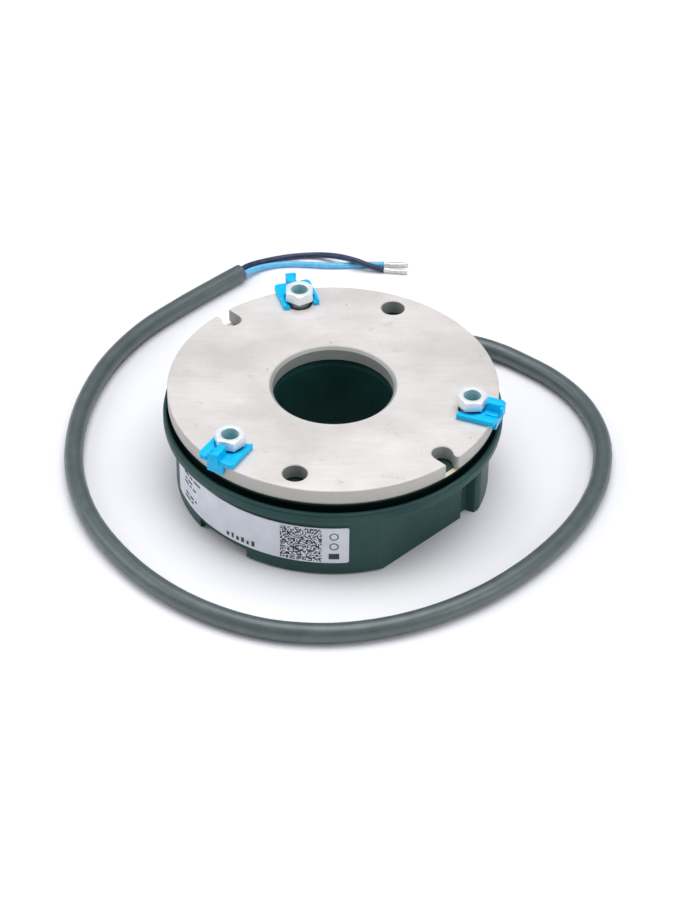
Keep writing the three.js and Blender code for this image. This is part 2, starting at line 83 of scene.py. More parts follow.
SHEATH_ROUTE = [
    (19.25, 39.45, 7), (20.5, 41.9, 6.95), (24.4, 46.3, 6.4), (30.9, 49.4, 5.1), (38.6, 50.2, 3.7),
    (45.9, 47.9, 2.8), (52.3, 43.4, FLOOR), (59.4, 37, FLOOR), (65.6, 28.4, FLOOR), (69.3, 18.9, FLOOR),
    (70.8, 8, FLOOR), (69.1, -5.4, FLOOR), (65.6, -15.2, FLOOR), (61, -23.9, FLOOR), (54.6, -32.9, FLOOR),
    (47.1, -41.2, FLOOR), (36.8, -50, FLOOR), (24.2, -57.4, FLOOR), (11.7, -61.9, FLOOR),
    (-1.5, -63.8, FLOOR), (-16.5, -62.2, FLOOR), (-31.2, -56, FLOOR), (-43.8, -46.5, FLOOR),
    (-54.2, -34.3, FLOOR), (-62, -20.4, FLOOR), (-66.5, -5.2, FLOOR), (-67.7, 9.6, FLOOR),
    (-66.2, 25.1, FLOOR), (-61.4, 41.6, FLOOR), (-53.4, 56.3, FLOOR), (-43.6, 68, FLOOR),
    (-35.4, 76.5, FLOOR), (-26.9, 85, FLOOR),
]
BLUE_ROUTE = [
    (-26, 84.5, 2.5), (-23.4, 87.6, 1.8), (-20.6, 90, 1.1), (-17, 91.4, CORE_FLOOR), (-13, 92, CORE_FLOOR),
    (-7.5, 91.8, CORE_FLOOR), (-1.9, 91.4, CORE_FLOOR), (5.5, 91.7, CORE_FLOOR), (10.2, 92.1, CORE_FLOOR),
    (14.4, 92.2, CORE_FLOOR),
]
DARK_ROUTE = [
    (-27.35, 85.85, 2.6), (-24.8, 89.1, 2.1), (-20.8, 92.4, 1.3), (-13, 95.6, CORE_FLOOR), (-5.7, 96.3, 1.1),
    (-1.5, 94.9, 2), (2.4, 92.7, 2.9), (6.5, 90.9, 2.9), (10.4, 90, 1.8), (14.2, 89.5, CORE_FLOOR),
]


# ---- Camera, floor and light ----
def make_camera():
    data = bpy.data.cameras.new("camera")
    data.lens = 96.19
    data.sensor_width = 36
    data.clip_start = 0.01
    camera = bpy.data.objects.new("camera", data)
    camera.location = (0, -0.48071, 0.40241)
    camera.rotation_euler = [math.radians(a) for a in (50.551, -0.4922, 0.2539)]
    bpy.context.scene.collection.objects.link(camera)
    bpy.context.scene.camera = camera


def make_light(name, location, target, size, power, color):
    data = bpy.data.lights.new(name, "AREA")
    data.shape = "RECTANGLE"
    data.size, data.size_y = size
    data.energy = power
    data.color = color
    light = bpy.data.objects.new(name, data)
    light.location = location
    light.rotation_euler = (Vector(target) - Vector(location)).to_track_quat("-Z", "Y").to_euler()
    bpy.context.scene.collection.objects.link(light)


def make_surroundings():
    scene = bpy.context.scene
    scene.view_settings.view_transform = "Standard"
    world = bpy.data.worlds.new("studio")
    world.use_nodes = True
    background = world.node_tree.nodes["Background"]
    background.inputs["Color"].default_value = (0.94, 0.95, 1, 1)
    background.inputs["Strength"].default_value = 0.31
    scene.world = world
    make_light("overhead", (0.05, 0.1, 0.9), (0, 0, 0), (0.9, 0.7), 6.6, (0.98, 0.98, 1))
    make_light("window", (-0.75, 0.05, 0.5), (0, 0, 0.01), (0.6, 0.5), 2.0, (0.98, 0.99, 1))
    make_light("fill", (0.8, -0.4, 0.5), (0, 0, 0.01), (0.6, 0.5), 2.1, (0.98, 0.98, 1))


# ---- Material helpers ----
class Shader:
    """A Principled material and short ways to add nodes to it."""

    def __init__(self, name, **values):
        self.material = bpy.data.materials.new(name)
        self.material.use_nodes = True
        self.tree = self.material.node_tree
        self.surface = self.tree.nodes["Principled BSDF"]
        for key, value in values.items():
            self.surface.inputs[key.replace("_", " ")].default_value = value

    def node(self, kind, inputs=None, **settings):
        made = self.tree.nodes.new(kind)
        for key, value in settings.items():
            setattr(made, key, value)
        for key, value in (inputs or {}).items():
            if isinstance(value, bpy.types.NodeSocket):
                self.tree.links.new(value, made.inputs[key])
            else:
                made.inputs[key].default_value = value
        return made

    def place(self, stretch=(1, 1, 1), turn=(0, 0, 0)):
        coordinates = self.node("ShaderNodeTexCoord")
        return self.node(
            "ShaderNodeMapping",
            {"Vector": coordinates.outputs["Object"], "Scale": stretch, "Rotation": turn},
        ).outputs["Vector"]

    def radius_and_height(self):
        """Distance from the unit's axis and height above its back face, in metres."""
        x, y, z = self.node("ShaderNodeSeparateXYZ", {"Vector": self.place()}).outputs
        squares = self.math("ADD", self.math("MULTIPLY", x, x), self.math("MULTIPLY", y, y))
        return self.math("SQRT", squares), z

    def noise(self, scale, detail=3.0, rough=0.5, stretch=(1, 1, 1), turn=(0, 0, 0)):
        return self.node(
            "ShaderNodeTexNoise",
            {"Vector": self.place(stretch, turn), "Scale": scale, "Detail": detail, "Roughness": rough},
        ).outputs["Fac"]

    def spread(self, value, low, high, to_low=0.0, to_high=1.0):
        return self.node(
            "ShaderNodeMapRange",
            {"Value": value, "From Min": low, "From Max": high, "To Min": to_low, "To Max": to_high},
        ).outputs["Result"]

    def math(self, operation, a, b=0.0):
        return self.node("ShaderNodeMath", {0: a, 1: b}, operation=operation).outputs["Value"]

    def mix(self, factor, a, b):
        made = self.node("ShaderNodeMix", data_type="RGBA")
        for socket, value in ((made.inputs[0], factor), (made.inputs[6], a), (made.inputs[7], b)):
            if isinstance(value, bpy.types.NodeSocket):
                self.tree.links.new(value, socket)
            else:
                socket.default_value = value
        return made.outputs[2]

    def mottled(self, scale, low, high, detail=4, rough=0.5):
        """A colour that wanders between two tones."""
        return self.mix(self.spread(self.noise(scale, detail, rough), 0.3, 0.7), low, high)

    def worn(self, scale, low, high, detail=3):
        """A roughness that wanders between two values."""
        return self.spread(self.noise(scale, detail), 0.3, 0.7, low, high)

    def bump(self, height, distance, strength):
        inputs = {"Height": height, "Distance": distance, "Strength": strength}
        return self.node("ShaderNodeBump", inputs).outputs["Normal"]

    def use(self, **sockets):
        for key, socket in sockets.items():
            self.tree.links.new(socket, self.surface.inputs[key.replace("_", " ")])
        return self.material


def color(red, green, blue):
    """An sRGB colour of 0 to 255 as linear values."""
    linear = []
    for value in (red / 255, green / 255, blue / 255):
        linear.append(value / 12.92 if value <= 10 / 255 else ((value + 0.055) / 1.055) ** 2.4)
    return (*linear, 1)


def ground_steel():
    """A ground upper face with clouds, scuffs and nicks, and turned walls with painted shade: the outer wall
    darker, the walls of holes and slots darker still.
    """
    s = Shader("ground_steel", Metallic=0.3, IOR=1.6)
    grain = s.noise(700, 5, 0.75, (0.09, 1.5, 1))
    fine = s.noise(2600, 3, 0.6, (0.05, 1, 1))
    clouds = s.noise(38, 6, 0.68, (0.8, 1.3, 1))
    scuffs = s.spread(s.noise(150, 6, 0.75, (1, 1.7, 1), (0, 0, 0.7)), 0.63, 0.71)
    nicks = s.spread(s.noise(420, 4, 0.7, (1, 0.5, 1), (0, 0, -0.5)), 0.67, 0.72)
    tone = s.mix(s.spread(clouds, 0.35, 0.65), color(214, 209, 204), color(237, 233, 230))
    tone = s.mix(s.math("MULTIPLY", s.spread(grain, 0.35, 0.75), 0.3), tone, color(205, 199, 194))
    tone = s.mix(s.math("MULTIPLY", scuffs, 0.4), tone, color(160, 156, 152))
    tone = s.mix(s.math("MULTIPLY", nicks, 0.6), tone, color(120, 118, 116))
    radius, height = s.radius_and_height()
    # Painted shade: the outer wall is darkened for how light falls on it, and the walls of holes and slots
    # are darker still.
    wall_shade_mask = s.math("LESS_THAN", height, (PLATE_HIGH - 0.3) * MM)
    outside = s.math("GREATER_THAN", radius, (PLATE_RADIUS - 0.1) * MM)
    wall = s.mix(outside, color(150, 158, 154), color(190, 187, 182))
    tone = s.mix(wall_shade_mask, tone, s.mix(s.math("MULTIPLY", grain, 0.5), wall, tone))
    rough = s.spread(s.math("ADD", grain, clouds), 0.7, 1.3, 0.48, 0.6)
    relief = s.math("ADD", s.math("MULTIPLY", grain, 0.5), fine)
    return s.use(Base_Color=tone, Roughness=rough, Normal=s.bump(relief, 0.00001, 0.5))


def green_paint():
    """Enamel with painted shade within the outer pole, and bare cream-coloured primer on top of the rim."""
    s = Shader("green_paint", Specular_IOR_Level=0.25, IOR=1.5)
    tone = s.mottled(60, color(34, 68, 66), color(48, 84, 82))
    skin = s.noise(700, 4, 0.6)
    pits = s.noise(260, 5, 0.65)
    radius, height = s.radius_and_height()
    on_rim = s.math("GREATER_THAN", height, (POLE_HEIGHT - 0.1) * MM)
    on_rim = s.math("MULTIPLY", on_rim, s.math("GREATER_THAN", radius, 40.5 * MM))
    on_rim = s.math("MULTIPLY", on_rim, s.math("LESS_THAN", radius, (RIM_RADIUS - 0.15) * MM))
    # Painted shade: within the outer pole, under the plate, the paint is darkened to near black.
    painted_shade_inside = s.math("LESS_THAN", radius, (COIL_OUTER + 1) * MM)
    tone = s.mix(painted_shade_inside, tone, color(8, 34, 32))
    tone = s.mix(on_rim, tone, color(226, 214, 178))
    rough = s.spread(skin, 0.3, 0.7, 0.36, 0.5)
    surface = s.bump(s.math("ADD", skin, pits), 0.00004, 0.5)
    return s.use(Base_Color=tone, Roughness=rough, Normal=surface)


def painted_shade_paint():
    """The darker, matt coat for the bore and for the groove under the rim; its darkness is painted shade."""
    s = Shader("painted_shade_paint", Specular_IOR_Level=0.08, IOR=1.5)
    radius, _ = s.radius_and_height()
    in_groove = s.math("GREATER_THAN", radius, COIL_OUTER * MM)
    # Painted shade: dark green in the bore and near black in the groove.
    tone = s.mottled(90, color(12, 52, 48), color(24, 66, 61))
    tone = s.mix(in_groove, tone, color(14, 34, 34))
    rough = s.worn(700, 0.5, 0.65, 4)
    return s.use(Base_Color=tone, Roughness=rough, Normal=s.bump(s.noise(260, 5), 0.00004, 0.5))


def zinc():
    s = Shader("zinc", Metallic=0.3)
    tone = s.mottled(500, color(238, 243, 244), color(250, 252, 253))
    rough = s.worn(900, 0.28, 0.42)
    return s.use(Base_Color=tone, Roughness=rough, Normal=s.bump(s.noise(1400, 3), 0.00001, 0.4))


def bolt_shank():
    """Plated like the head, and more of a metal; its darker tone is painted shade under the head."""
    s = Shader("bolt_shank", Metallic=0.85)
    tone = s.mottled(500, color(150, 156, 158), color(174, 180, 182))
    rough = s.worn(900, 0.28, 0.42)
    return s.use(Base_Color=tone, Roughness=rough, Normal=s.bump(s.noise(900, 3), 0.00002, 0.4))


def bolt_bore():
    s = Shader("bolt_bore", Metallic=0.2)
    tone = s.mottled(700, color(152, 200, 206), color(180, 220, 227))
    rough = s.worn(1200, 0.55, 0.75)
    return s.use(Base_Color=tone, Roughness=rough, Normal=s.bump(s.noise(1800, 3), 0.00003, 0.5))


def blue_plastic():
    s = Shader(
        "blue_plastic", Specular_IOR_Level=0.25, IOR=1.5, Subsurface_Weight=0.1, Subsurface_Scale=0.001
    )
    tone = s.mottled(420, color(0, 188, 250), color(0, 206, 255), 3)
    rough = s.worn(800, 0.3, 0.42)
    return s.use(Base_Color=tone, Roughness=rough, Normal=s.bump(s.noise(1600, 4), 0.00002, 0.5))


def label_foil():
    s = Shader("label_foil", Metallic=0.1)
    tone = s.mottled(240, color(226, 230, 238), color(238, 242, 250))
    rough = s.worn(1500, 0.36, 0.5)
    return s.use(Base_Color=tone, Roughness=rough, Normal=s.bump(s.noise(900, 3), 0.00001, 0.4))


def ink():
    s = Shader("ink", Roughness=0.5)
    tone = s.mix(s.spread(s.noise(2500, 3), 0.35, 0.75), color(38, 38, 44), color(72, 72, 80))
    return s.use(Base_Color=tone)


def sheath_pvc():
    s = Shader("sheath", Specular_IOR_Level=0.9, IOR=1.5)
    tone = s.mottled(220, color(68, 81, 81), color(84, 98, 98), 5, 0.6)
    rough = s.worn(600, 0.34, 0.44, 4)
    grain = s.math("ADD", s.noise(2200, 3), s.noise(350, 3))
    return s.use(Base_Color=tone, Roughness=rough, Normal=s.bump(grain, 0.00003, 0.5))


def insulation(name, low, high):
    s = Shader(name, IOR=1.5)
    tone = s.mottled(500, low, high)
    rough = s.worn(1200, 0.35, 0.5)
    return s.use(Base_Color=tone, Roughness=rough, Normal=s.bump(s.noise(1800, 3), 0.00002, 0.5))


def rubber():
    s = Shader("rubber", IOR=1.5)
    tone = s.mottled(400, color(24, 26, 27), color(36, 38, 39))
    rough = s.worn(1400, 0.62, 0.8)
    return s.use(Base_Color=tone, Roughness=rough, Normal=s.bump(s.noise(1500, 4), 0.00005, 0.6))


def tin():
    s = Shader("tin", Metallic=0.4)
    tone = s.mix(s.spread(s.noise(900, 4), 0.35, 0.65), color(214, 211, 206), color(238, 236, 232))
    rough = s.worn(1500, 0.3, 0.5)
    return s.use(Base_Color=tone, Roughness=rough, Normal=s.bump(s.noise(1200, 4), 0.00006, 0.7))


def copper_turns():
    s = Shader("copper_turns", Metallic=0.9)
    wave = s.node(
        "ShaderNodeTexWave",
        {"Vector": s.place(), "Scale": 900.0, "Distortion": 0.3},
        bands_direction="Z",
    ).outputs["Fac"]
    tone = s.mix(wave, color(112, 52, 26), color(190, 108, 62))
    return s.use(Base_Color=tone, Roughness=s.spread(wave, 0, 1, 0.4, 0.25), Normal=s.bump(wave, 0.0001, 0.8))


def moulded(name, low, high):
    s = Shader(name)
    tone = s.mottled(500, low, high)
    rough = s.worn(900, 0.5, 0.65)
    return s.use(Base_Color=tone, Roughness=rough, Normal=s.bump(s.noise(1500, 3), 0.00003, 0.5))


def spring_wire():
    s = Shader("spring_wire", Metallic=1.0)
    tone = s.mottled(900, color(120, 122, 124), color(168, 170, 172), 3)
    return s.use(Base_Color=tone, Roughness=s.worn(1500, 0.25, 0.4))


def paper_floor():
    s = Shader("floor", Roughness=0.9)
    tone = s.mottled(3, color(250, 250, 255), color(254, 254, 255), 3)
    return s.use(Base_Color=tone)


# ---- Mesh helpers: shapes are drawn in millimetres ----
def mesh_object(name, points, faces, smooth_angle=35):
    mesh = bpy.data.meshes.new(name)
    mesh.from_pydata([Vector(p) * MM for p in points], [], faces)
    mesh.validate()
    made = bpy.data.objects.new(name, mesh)
    bpy.context.scene.collection.objects.link(made)
    tidy_mesh(made, smooth_angle)
    return made


def tidy_mesh(made, smooth_angle=35):
    mesh = made.data
    work = bmesh.new()
    work.from_mesh(mesh)
    bmesh.ops.remove_doubles(work, verts=work.verts, dist=1e-7)
    bmesh.ops.recalc_face_normals(work, faces=work.faces)
    work.to_mesh(mesh)
    work.free()
    mesh.shade_smooth()
    mesh.set_sharp_from_angle(angle=math.radians(smooth_angle))


def polar(radius, degrees):
    return Vector((radius * math.cos(math.radians(degrees)), radius * math.sin(math.radians(degrees))))


def rounded(corners, steps=4):
    """A closed outline of (x, y, corner radius) with its corners rounded."""
    line = []
    for index, (x, y, radius) in enumerate(corners):
        here = Vector((x, y))
        before = Vector(corners[index - 1][:2]) - here
        after = Vector(corners[(index + 1) % len(corners)][:2]) - here
        turn = before.angle(after)
        if radius <= 0 or turn > math.pi - 0.01:
            line.append(here)
            continue
        reach = radius / math.tan(turn / 2)
        start, end = here + before.normalized() * reach, here + after.normalized() * reach
        centre = here + (before.normalized() + after.normalized()).normalized() * radius / math.sin(turn / 2)
        a, b = start - centre, end - centre
        swing = a.angle_signed(b)
        for step in range(steps + 1):
            angle = -swing * step / steps
            line.append(centre + Matrix.Rotation(angle, 2) @ a)
    return line


def lathe(name, outline, segments=192, smooth_angle=35):
    """Turns a closed outline of (radius, height) about Z."""
    count = len(outline)
    points = [
        (r * math.cos(TAU * s / segments), r * math.sin(TAU * s / segments), z)
        for s in range(segments)
        for r, z in outline
    ]
    faces = [
        (s * count + i, s * count + (i + 1) % count, t * count + (i + 1) % count, t * count + i)
        for s in range(segments)
        for t in [(s + 1) % segments]
        for i in range(count)
    ]
    return mesh_object(name, points, faces, smooth_angle)


def shift_outline(outline, distance):
    """Moves a closed anticlockwise outline outwards by a small distance."""
    moved = []
    count = len(outline)
    for index, here in enumerate(outline):
        before, after = outline[index - 1], outline[(index + 1) % count]
        a, b = (here - before), (after - here)
        if a.length < 1e-9:
            a = b
        if b.length < 1e-9:
            b = a
        na, nb = Vector((a.y, -a.x)).normalized(), Vector((b.y, -b.x)).normalized()
        middle = (na + nb).normalized()
        moved.append(here + middle * distance / max(0.4, middle.dot(na)))
    return moved


def loft(name, outlines, heights, smooth_angle=35):
    """A closed solid through outlines of the same number of points, one at each height."""
    count = len(outlines[0])
    points = [(p[0], p[1], z) for outline, z in zip(outlines, heights) for p in outline]
    faces = [
        (k * count + i, k * count + (i + 1) % count, (k + 1) * count + (i + 1) % count, (k + 1) * count + i)
        for k in range(len(outlines) - 1)
        for i in range(count)
    ]
    faces.append(tuple(reversed(range(count))))
    faces.append(tuple((len(outlines) - 1) * count + i for i in range(count)))
    return mesh_object(name, points, faces, smooth_angle)


def slab(name, outline, low, high):
    """An outline drawn up from low to high."""
    outline = [Vector(p) for p in outline]
    return loft(name, [outline, outline], [low, high])


def circle(radius, count=48):
    turns = [TAU * i / count for i in range(count)]
    return [Vector((radius * math.cos(t), radius * math.sin(t))) for t in turns]


def box_outline(x_low, x_high, half):
    return [(x_low, -half), (x_high, -half), (x_high, half), (x_low, half)]


def place(made, radius, angle, turn=0.0):
    """Turns a shape about its own axis and moves it to a point on a circle."""
    at = polar(radius, angle) * MM
    made.data.transform(Matrix.Translation((at.x, at.y, 0)) @ Matrix.Rotation(math.radians(turn), 4, "Z"))
    return made


def along_lead(made):
    """Turns a shape that stands on the axis so that it points outwards where the lead leaves."""
    turn = Matrix.Rotation(math.radians(LEAD_ANGLE), 4, "Z") @ Matrix.Rotation(math.pi / 2, 4, "Y")
    made.data.transform(Matrix.Translation((0, 0, LEAD_HEIGHT * MM)) @ turn)
    return made


def combine(base, tools, operation):
    """Cuts or joins tools with base, and removes the tools."""
    for tool in tools:
        step = base.modifiers.new("combine", "BOOLEAN")
        step.operation = operation
        step.solver = "EXACT"
        step.object = tool
    settle(base)
    for tool in tools:
        bpy.data.objects.remove(tool)
    tidy_mesh(base)


def settle(made):
    """Replaces an object's mesh with the result of its modifiers."""
    bpy.context.view_layer.update()
    graph = bpy.context.evaluated_depsgraph_get()
    mesh = bpy.data.meshes.new_from_object(made.evaluated_get(graph))
    made.modifiers.clear()
    made.data = mesh


def soften(made, width, angle):
    """Rounds the edges sharper than an angle."""
    step = made.modifiers.new("edges", "BEVEL")
    step.width = width * MM
    step.segments = 2
    step.limit_method = "ANGLE"
    step.angle_limit = math.radians(angle)
    step.use_clamp_overlap = True
    step.harden_normals = False
    settle(made)
    made.data.shade_smooth()
    made.data.set_sharp_from_angle(angle=math.radians(50))


def finish_piece(made, material, body, slot, *nodes):
    """Gives a piece its material and its body, and hides the CAD nodes that it stands in for. The slot is not
    used.
    """
    made.data.materials.clear()
    made.data.materials.append(material)
    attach(made, body)
    if nodes:
        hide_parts(*nodes)


# ---- Cords ----
def smooth_route(points, per_span):
    """A centripetal Catmull-Rom line through the points, in metres."""
    line = []
    knots = [Vector(p) * MM for p in points]
    knots = [2 * knots[0] - knots[1], *knots, 2 * knots[-1] - knots[-2]]
    for a, b, c, d in zip(knots, knots[1:], knots[2:], knots[3:]):
        t0 = 0.0
        t1 = t0 + (b - a).length ** 0.5
        t2 = t1 + (c - b).length ** 0.5
        t3 = t2 + (d - c).length ** 0.5
        for step in range(per_span):
            t = t1 + (t2 - t1) * step / per_span
            ab = a.lerp(b, (t - t0) / (t1 - t0))
            bc = b.lerp(c, (t - t1) / (t2 - t1))
            cd = c.lerp(d, (t - t2) / (t3 - t2))
            abc = ab.lerp(bc, (t - t0) / (t2 - t0))
            bcd = bc.lerp(cd, (t - t1) / (t3 - t1))
            line.append(abc.lerp(bcd, (t - t1) / (t2 - t1)))
    line.append(knots[-2])
    return line


def sweep(name, line, radius, sides, end_profile):
    """A round tube along a line in metres. end_profile gives (distance past the end, radius) in mm."""
    ahead, behind = [*line[1:], line[-1]], [line[0], *line[:-1]]
    tangents = [(a - b).normalized() for a, b in zip(ahead, behind)]
    side = tangents[0].orthogonal().normalized()
    rings = []
    for point, tangent in zip(line, tangents):
        side = (side - tangent * side.dot(tangent)).normalized()
        rings.append((point, tangent, side, radius * MM))
    last_point, last_tangent, last_side, _ = rings[-1]
    for past, ring_radius in end_profile:
        rings.append((last_point + last_tangent * past * MM, last_tangent, last_side, ring_radius * MM))
    points, faces = [], []
    for point, tangent, across, ring_radius in rings:
        up = tangent.cross(across)
        for k in range(sides):
            angle = TAU * k / sides
            points.append((point + (across * math.cos(angle) + up * math.sin(angle)) * ring_radius) / MM)
    for ring in range(len(rings) - 1):
        for k in range(sides):
            a, b = ring * sides + k, ring * sides + (k + 1) % sides
            faces.append((a, b, b + sides, a + sides))
    faces.append(tuple(range(sides)))
    faces.append(tuple((len(rings) - 1) * sides + k for k in range(sides)))
    return mesh_object(name, points, faces, 50)


def make_cords(materials):
    sheath_line = smooth_route(SHEATH_ROUTE, 8)
    rim = [(0.0, SHEATH_RADIUS - 0.12), (0.06, SHEATH_RADIUS - 0.3), (0.06, 1.95)]
    cut_end = [*rim, (-0.9, 1.9), (-0.9, 0.4)]
    sheath = sweep("lead_sheath", sheath_line, SHEATH_RADIUS, 28, cut_end)
    finish_piece(sheath, materials["sheath"], "stator", "sheath", "cable_jacket")
    for tone, route in (("blue", BLUE_ROUTE), ("dark", DARK_ROUTE)):
        line = smooth_route(route, 8)
        core = sweep(f"core_{tone}", line, CORE_RADIUS, 16, [(0.05, CORE_RADIUS - 0.1), (0.08, 0.4)])
        finish_piece(core, materials[f"{tone}_insulation"], "stator", f"{tone}_insulation", f"wire_{tone}")
        sleeve = end_sleeve(f"sleeve_{tone}", line)
        finish_piece(sleeve, materials["tin"], "stator", "tinned_copper", f"ferrule_{tone}")


def end_sleeve(name, line):
    """A crimped end sleeve: a short collar, flattened in the middle, with the strand's tip showing."""
    start = line[-1]
    heading = line[-1] - line[-9]
    angle = math.atan2(heading.y, heading.x)
    stations = [
        (0.3, 0.55, 0.55), (0.3, 0.8, 0.8), (1.0, 0.8, 0.8), (1.5, 0.78, 0.7), (2.2, 0.8, 0.62),
        (4.6, 0.8, 0.6), (5.6, 0.78, 0.66), (6.2, 0.72, 0.7), (6.25, 0.5, 0.5), (6.9, 0.46, 0.46),
        (7.0, 0.3, 0.3),
    ]  # distance along, half width, half height
    sides = 20
    points, faces = [], []
    for along, wide, high in stations:
        for k in range(sides):
            turn = TAU * k / sides
            across = wide * math.cos(turn)
            x = start.x / MM + along * math.cos(angle) - across * math.sin(angle)
            y = start.y / MM + along * math.sin(angle) + across * math.cos(angle)
            points.append((x, y, start.z / MM + high * math.sin(turn)))
    for ring in range(len(stations) - 1):
        for k in range(sides):
            a, b = ring * sides + k, ring * sides + (k + 1) % sides
            faces.append((a, b, b + sides, a + sides))
    faces.append(tuple(range(sides)))
    faces.append(tuple((len(stations) - 1) * sides + k for k in range(sides)))
    return mesh_object(name, points, faces, 40)


# ---- Armature plate ----
def through_plate(widened):
    """A cutter right through the plate with broken rims. widened(distance) gives its outline, grown."""
    edge, reach = PLATE_EDGE, PLATE_EDGE + 1
    heights = [PLATE_LOW - 1, PLATE_LOW, PLATE_LOW + edge, PLATE_HIGH - edge, PLATE_HIGH, PLATE_HIGH + 1]
    return loft("cutter", [widened(d) for d in (reach, edge, 0, 0, edge, reach)], heights)


def drilled(radius):
    return through_plate(lambda grown: circle(radius + grown, 64))


def slot_outline():
    """An open slot with a round inner end, one straight side, and a nose on the other side."""
    centre, offset, radius = 38.15, -0.2, 2.65
    line = [Vector((44.5, offset - radius))]
    for step in range(25):
        angle = math.radians(-90 - 210 * step / 24)
        line.append(Vector((centre + radius * math.cos(angle), offset + radius * math.sin(angle))))
    line += curve_points(line[-1], Vector((40.5, 1.35)), Vector((41.25, 1.35)), 8)
    line += curve_points(line[-1], Vector((42.05, 1.5)), Vector((42.4, 3.1)), 8)
    line.append(Vector((44.5, 4.9)))
    return list(reversed(line))


def curve_points(a, b, c, steps):
    """Points on a quadratic curve from a to c, without a itself."""
    return [a.lerp(b, t).lerp(b.lerp(c, t), t) for t in (step / steps for step in range(1, steps + 1))]


def make_plate(material):
    outline = rounded(
        [
            (PLATE_BORE, PLATE_LOW, 0.15), (PLATE_RADIUS, PLATE_LOW, 0.35), (PLATE_RADIUS, PLATE_HIGH, 0.3),
            (PLATE_BORE + PLATE_CHAMFER, PLATE_HIGH, 0.12), (PLATE_BORE, PLATE_HIGH - PLATE_CHAMFER, 0.12),
        ]
    )
    plate = lathe("armature", outline, 256)
    cutters = [place(drilled(BOLT_CLEARANCE), BOLT_CIRCLE, s["angle"]) for s in STATIONS.values()]
    cutters += [place(drilled(PLATE_HOLE_RADIUS), PLATE_HOLE_CIRCLE, angle) for angle in PLATE_HOLE_ANGLES]
    slot = slot_outline()
    for angle in SLOT_ANGLES:
        cutters.append(place(through_plate(lambda grown: shift_outline(slot, grown)), 0, 0, angle))
    combine(plate, cutters, "DIFFERENCE")
    finish_piece(plate, material, "armature", "ground_steel", "armature_plate")


# ---- Magnet housing ----
def flat_outline():
    """What is cut off for a flat: it ends at a wall with a small relief and a broken corner."""
    slope = math.tan(math.radians(FLAT_WALL_ANGLE))
    foot = RELIEF_DISTANCE * slope
    low = foot - 2.2
    return rounded(
        [
            (FLAT_DISTANCE, -50, 0), (52, -50, 0), (52, 50, 0),
            (LUG_RADIUS + 0.3, LUG_RADIUS * slope + 2.4, 0), (LUG_RADIUS, LUG_RADIUS * slope, 0.3),
            (RELIEF_DISTANCE, foot, 0.5), (RELIEF_DISTANCE, low, 0.5), (FLAT_DISTANCE, low - 0.8, 0.5),
        ]
    )


def make_housing(material, painted_shade_coat):
    ring, edge = RING_RADIUS, FOOT_EDGE
    outline = rounded(
        [
            (HOUSING_BORE + edge, 0, 0.2), (BODY_RADIUS - edge, 0, 0.4), (BODY_RADIUS, edge, 0.4),
            (BODY_RADIUS, RING_LOW, 0.5), (ring, RING_LOW, 0.5), (ring, 21.15, 0.3),
            (ring - 0.3, 21.4, 0.1), (ring - 0.1, 21.6, 0.1), (ring - 0.2, RING_HIGH, 0.3),
            (RING_INNER, RING_HIGH, 0.2), (RING_INNER, GROOVE_LOW, 0.4), (GROOVE_RADIUS, GROOVE_LOW, 0.4),
            (GROOVE_RADIUS, GROOVE_HIGH, 0.3), (RIM_RADIUS, GROOVE_HIGH, 0.15),
            (RIM_RADIUS, POLE_HEIGHT, 0.15), (COIL_OUTER, POLE_HEIGHT, 0.1), (COIL_OUTER, COIL_FLOOR, 0),
            (COIL_INNER, COIL_FLOOR, 0), (COIL_INNER, POLE_HEIGHT, 0.1),
            (HOUSING_BORE + BORE_CHAMFER, POLE_HEIGHT, 0.15),
            (HOUSING_BORE, POLE_HEIGHT - BORE_CHAMFER, 0.15), (HOUSING_BORE, edge, 0.2),
        ]
    )
    housing = lathe("housing", outline, 256)
    cutters = [place(slab("cutter", flat_outline(), -2, RING_LOW), 0, 0, angle) for angle in FLAT_ANGLES]
    notch = slab("cutter", box_outline(33, 52, NOTCH_HALF), -2, NOTCH_HIGH)
    cutters.append(place(notch, 0, 0, NOTCH_ANGLE))
    for station in STATIONS.values():
        for radius, low, high in ((BOLT_CLEARANCE, BOLT_HOLE_FLOOR, 26), (THREAD_RADIUS, -2, BOLT_FOOT)):
            cutters.append(place(slab("cutter", circle(radius), low, high), BOLT_CIRCLE, station["angle"]))
    for index in range(SPRING_COUNT):
        pocket = slab("cutter", circle(SPRING_POCKET), SPRING_FLOOR, 26)
        cutters.append(place(pocket, SPRING_CIRCLE, SPRING_FIRST + 360 / SPRING_COUNT * index))
    cutters.append(along_lead(slab("cutter", circle(LEAD_HOLE), 31, 46)))
    combine(housing, cutters, "DIFFERENCE")
    finish_piece(housing, material, "stator", "green_paint", "magnet_housing")
    # The coat with painted shade goes on the faces in the bore and in the groove under the rim.
    housing.data.materials.append(painted_shade_coat)
    for face in housing.data.polygons:
        reach, height = face.center.xy.length / MM, face.center.z / MM
        in_bore = reach < HOUSING_BORE + BORE_CHAMFER - 0.1
        in_groove = GROOVE_RADIUS - 0.1 < reach < RING_INNER + 0.1
        in_groove = in_groove and GROOVE_LOW - 0.1 < height < POLE_HEIGHT - 0.1
        face.material_index = int(in_bore or in_groove)


